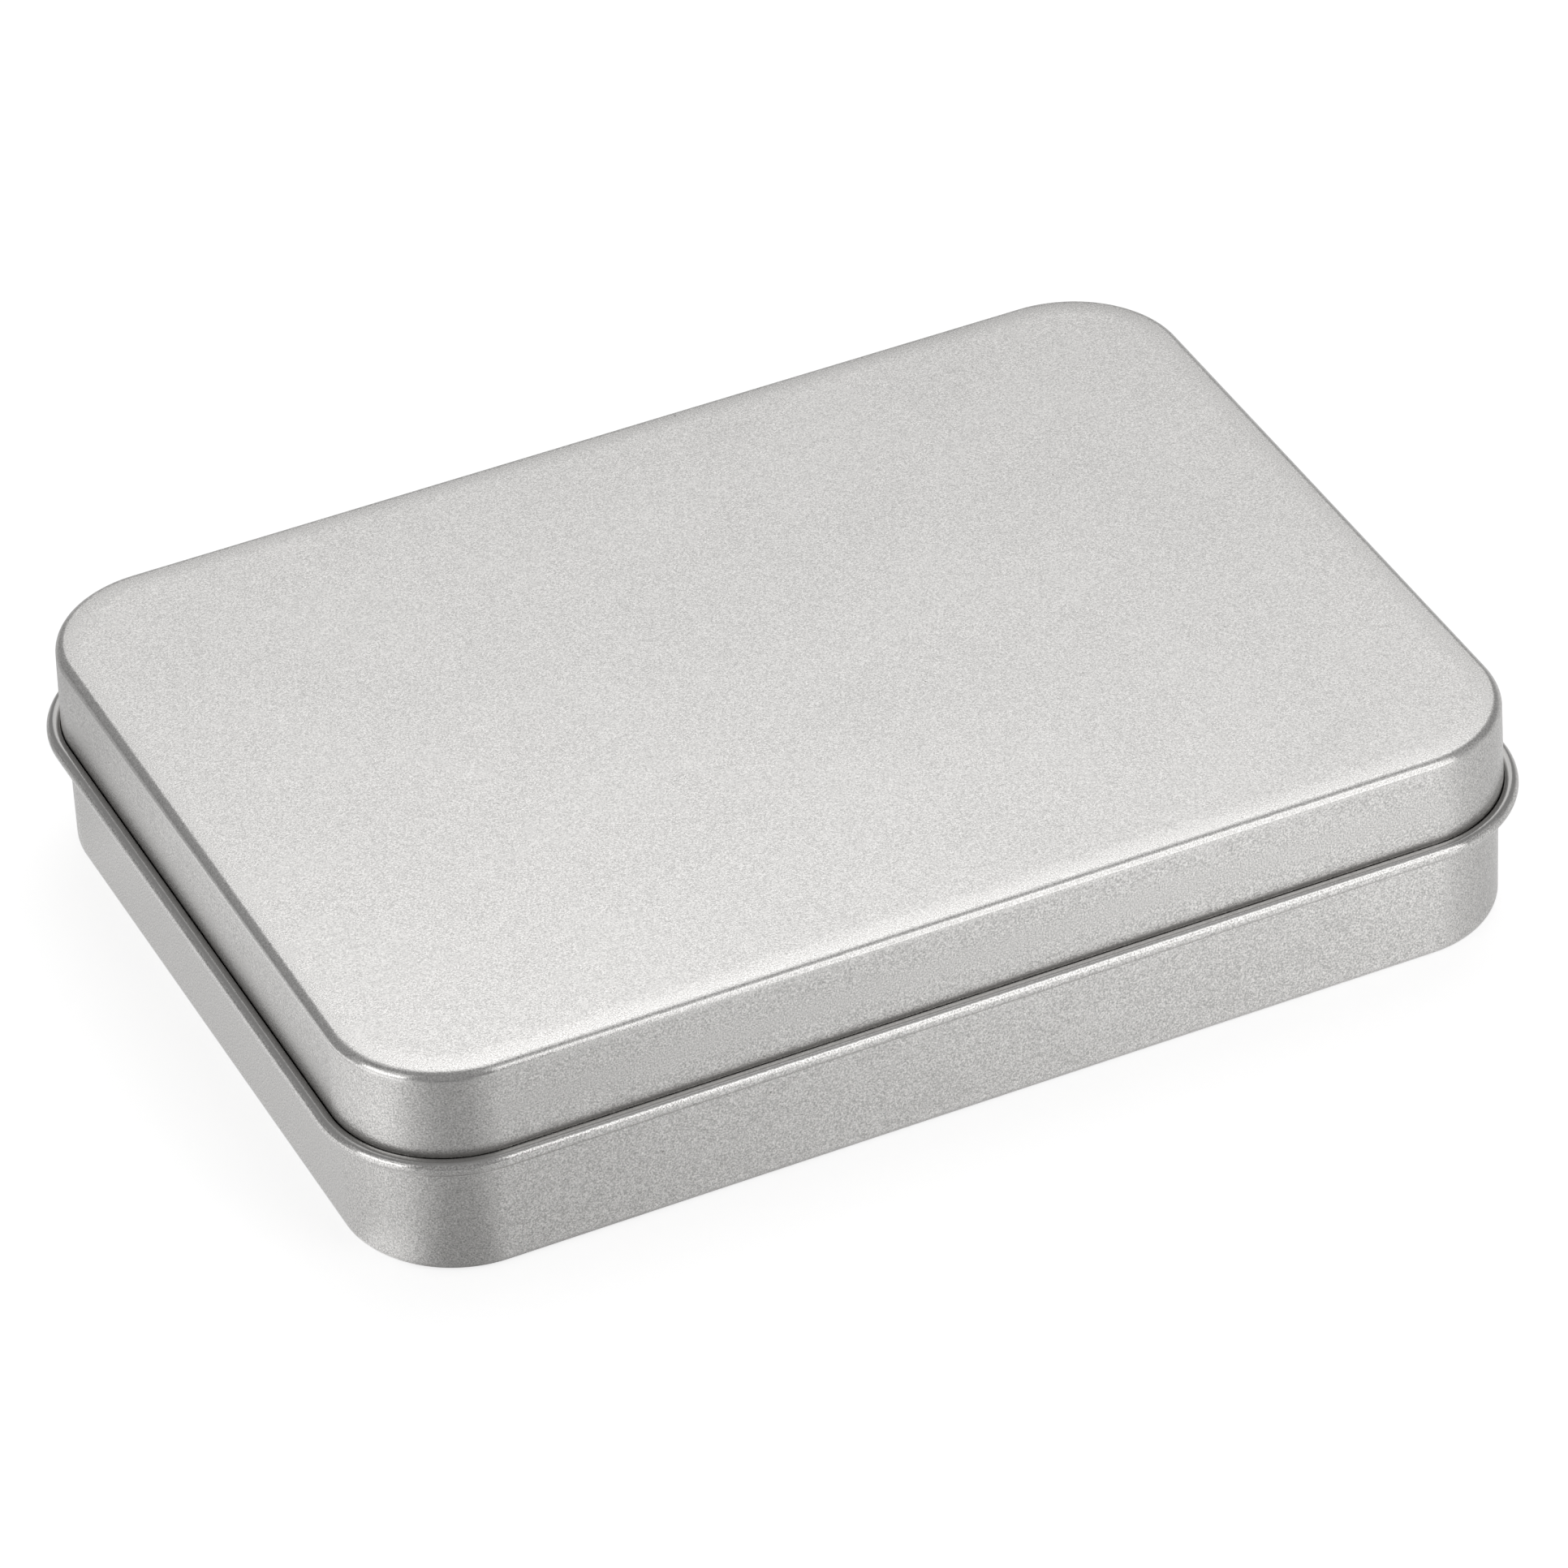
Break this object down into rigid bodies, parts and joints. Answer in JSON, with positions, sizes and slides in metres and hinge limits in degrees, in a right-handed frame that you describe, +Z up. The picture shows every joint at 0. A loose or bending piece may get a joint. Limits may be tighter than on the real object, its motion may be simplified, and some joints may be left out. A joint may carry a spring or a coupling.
{
  "type": "rectangular tin",
  "caption": "Low rectangular tinplate tin with rounded corners: a drawn base with an inward curl, under a lift-off lid whose rolled foot forms a bead.",
  "frame": {"origin": "on the surface that the tin stands on, under the middle of the base", "axes": "+X along the long side, +Z up through the lid, with a long side facing -Y"},
  "size_m": [0.1536, 0.1136, 0.029],
  "materials": {
    "base_tinplate": "frosted satin tinplate",
    "lid_tinplate": "frosted satin tinplate"
  },
  "bodies": {
    "base": {"base": "base_tinplate"},
    "lid": {"lid": "lid_tinplate"}
  },
  "joints": [
    {"name": "lid_lift", "type": "slide", "parent": "base", "child": "lid", "axis": [0, 0, 1], "range_m": [0, 0.04]}
  ]
}
